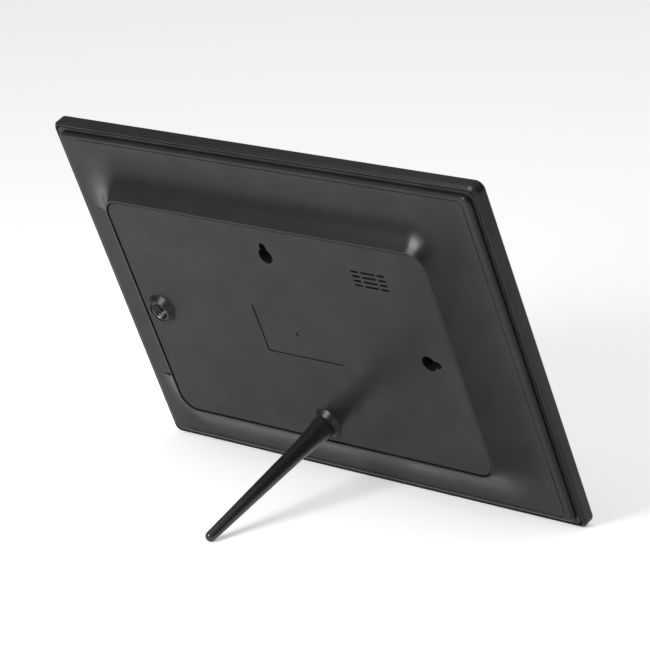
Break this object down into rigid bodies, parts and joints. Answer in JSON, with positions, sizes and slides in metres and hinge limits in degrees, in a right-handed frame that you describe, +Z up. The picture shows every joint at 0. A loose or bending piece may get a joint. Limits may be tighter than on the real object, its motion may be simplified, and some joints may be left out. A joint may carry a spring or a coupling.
{
  "type": "digital photo frame",
  "caption": "Table-top digital picture frame: wide black bezel, coved rear shell with flush back plate, hanging keyholes, speaker slots, side ports and a tapered screw-in leg.",
  "frame": {"origin": "on the table, under the middle of the overall box, as the frame stands on its bottom rear edge and its leg", "axes": "+Z up, +X along the width towards the port side (left as seen from behind), the picture faces -Y and the leg points to +Y; the frame leans back 21.5 degrees"},
  "size_m": [0.27, 0.1206, 0.1798],
  "materials": {
    "bezel_plastic": "satin black ABS",
    "shell_plastic": "fine spark-textured black ABS",
    "panel_plastic": "fine spark-textured black ABS",
    "leg_plastic": "glossy black ABS",
    "key_plastic": "satin black ABS",
    "rubber": "black rubber",
    "foam": "black foam",
    "dark_metal": "black zinc plated",
    "bright_steel": "bright steel",
    "brass_gold": "plated contact",
    "display_glass": "anti-glare",
    "clear_acrylic": "clear acrylic",
    "white_film": "white film",
    "circuit_board": "solder mask",
    "chip_epoxy": "moulded epoxy",
    "socket_plastic": "moulded nylon",
    "white_plastic": "moulded nylon",
    "dust_cloth": "woven dust cloth",
    "lead_pvc": "insulated wire"
  },
  "bodies": {
    "frame_body": {"front_bezel": "bezel_plastic", "window_gasket": "foam", "display_frame": "bright_steel", "display_glass": "display_glass", "diffuser_films": "white_film", "light_guide": "clear_acrylic", "reflector_sheet": "white_film", "backlight_tray": "bright_steel", "led_strip": "white_plastic", "display_brackets": "bright_steel", "bracket_screws": "bright_steel", "mounting_plate": "bright_steel", "main_board": "circuit_board", "board_screws": "bright_steel", "processor": "chip_epoxy", "memory_chips": "chip_epoxy", "power_coils": "chip_epoxy", "capacitors": "bright_steel", "ribbon_socket": "white_plastic", "speaker_plug": "white_plastic", "card_socket": "bright_steel", "usb_socket": "bright_steel", "usb_tongue": "socket_plastic", "power_socket": "socket_plastic", "audio_socket": "socket_plastic", "power_pin": "brass_gold", "rear_shell": "shell_plastic", "key_board": "circuit_board", "key_switches": "socket_plastic", "key_board_screws": "bright_steel", "speaker": "chip_epoxy", "speaker_cloth": "dust_cloth", "speaker_screws": "bright_steel", "speaker_lead": "lead_pvc", "display_ribbon": "brass_gold", "rear_panel": "panel_plastic", "side_socket_insert": "dark_metal", "bottom_socket_insert": "dark_metal"},
    "leg_seal": {"leg_washer": "rubber"},
    "leg": {"leg": "leg_plastic", "leg_stud": "dark_metal"},
    "power_key": {"power_key": "key_plastic"},
    "menu_key": {"menu_key": "key_plastic"},
    "up_key": {"up_key": "key_plastic"},
    "down_key": {"down_key": "key_plastic"},
    "back_key": {"back_key": "key_plastic"}
  },
  "joints": [
    {"name": "leg_travel", "type": "slide", "parent": "frame_body", "child": "leg_seal", "axis": [0, 0.9303, -0.3669], "range_m": [0, 0.009]},
    {"name": "leg_turn", "type": "hinge", "parent": "leg_seal", "child": "leg", "pos_m": [0, -0.02331, 0.03457], "axis": [0, 0.9303, -0.3669], "range_deg": [0, 2160.5]},
    {"name": "power_press", "type": "slide", "parent": "frame_body", "child": "power_key", "axis": [-1, 0, 0], "range_m": [0, 0.0004], "stiffness_N_per_m": 2500, "springref_m": -0.0004},
    {"name": "menu_press", "type": "slide", "parent": "frame_body", "child": "menu_key", "axis": [-1, 0, 0], "range_m": [0, 0.0004], "stiffness_N_per_m": 2500, "springref_m": -0.0004},
    {"name": "up_press", "type": "slide", "parent": "frame_body", "child": "up_key", "axis": [-1, 0, 0], "range_m": [0, 0.0004], "stiffness_N_per_m": 2500, "springref_m": -0.0004},
    {"name": "down_press", "type": "slide", "parent": "frame_body", "child": "down_key", "axis": [-1, 0, 0], "range_m": [0, 0.0004], "stiffness_N_per_m": 2500, "springref_m": -0.0004},
    {"name": "back_press", "type": "slide", "parent": "frame_body", "child": "back_key", "axis": [-1, 0, 0], "range_m": [0, 0.0004], "stiffness_N_per_m": 2500, "springref_m": -0.0004}
  ],
  "couplings": [
    {"joint": "leg_turn", "follows": "leg_travel", "rad_per_m": 4188.8}
  ]
}
